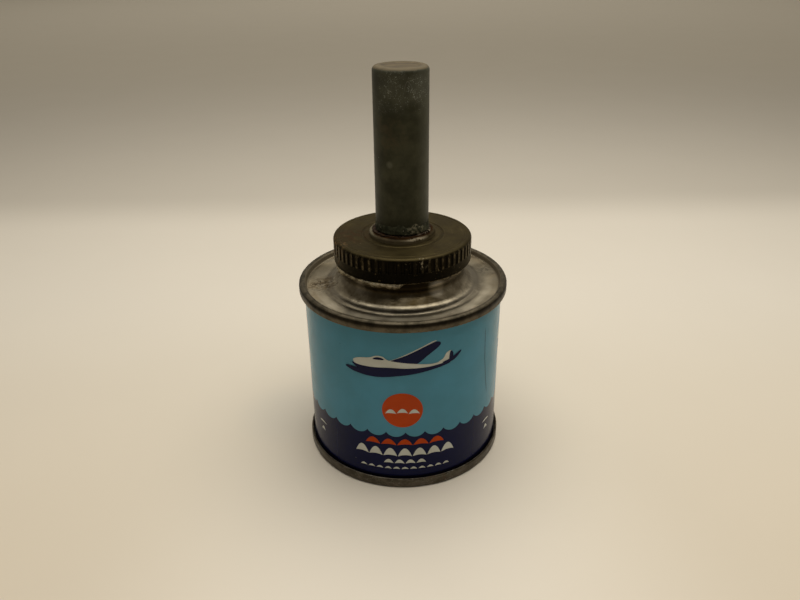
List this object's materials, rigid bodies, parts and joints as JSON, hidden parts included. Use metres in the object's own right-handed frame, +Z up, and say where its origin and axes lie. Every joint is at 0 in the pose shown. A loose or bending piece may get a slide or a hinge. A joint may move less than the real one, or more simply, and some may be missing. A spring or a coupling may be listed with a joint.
{
  "type": "brush-top sealer can",
  "caption": "Small round tinplate can with a fluted screw cap, a tall tube handle on the cap and a round brush under it, for brushing on a liquid sealer.",
  "frame": {"origin": "centre of the circle the can stands on", "axes": "+Z up along the can's axis, -Y towards the printed front, +Y towards the side seam"},
  "size_m": [0.062, 0.062, 0.1158],
  "materials": {
    "printed_lacquer": "gloss lithographed lacquer on tinplate, sky blue over navy",
    "seam_solder": "dull grey solder",
    "tinplate_top": "bright tinplate gone dull, with brown stains",
    "tinplate_bottom": "dull grey tinplate",
    "seam_compound": "dry sealing compound",
    "cap_steel": "browned steel, near black on the skirt, with dried sealer",
    "liner_board": "pulpboard",
    "liner_foil": "thin foil facing",
    "washer_steel": "tinned steel with rust near its hole",
    "handle_metal": "dull grey-green oxidised tube with pale blooms",
    "ferrule_tin": "tinned steel, stained by sealer",
    "bristle_rubber": "hard rubber setting",
    "plug_wood": "turned beech",
    "bristle_hair": "dark bristle, stiff with dried sealer"
  },
  "bodies": {
    "can": {"body_wall": "printed_lacquer", "side_seam_solder": "seam_solder", "top_end": "tinplate_top", "top_seam_compound": "seam_compound", "bottom_end": "tinplate_bottom", "bottom_seam_compound": "seam_compound"},
    "liner": {"liner_board": "liner_board", "liner_facing": "liner_foil"},
    "brush_cap": {"cap_shell": "cap_steel", "cup_washer": "washer_steel", "lock_washer": "washer_steel", "handle_tube": "handle_metal", "brush_ferrule": "ferrule_tin", "bristle_set": "bristle_rubber", "ferrule_plug": "plug_wood", "bristles": "bristle_hair"}
  },
  "joints": [
    {"name": "cap_lift", "type": "slide", "parent": "can", "child": "liner", "axis": [0, 0, 1], "range_m": [0, 0.07]},
    {"name": "cap_turn", "type": "hinge", "parent": "liner", "child": "brush_cap", "pos_m": [0, 0, 0.065], "axis": [0, 0, 1], "range_deg": [0, 450]}
  ]
}
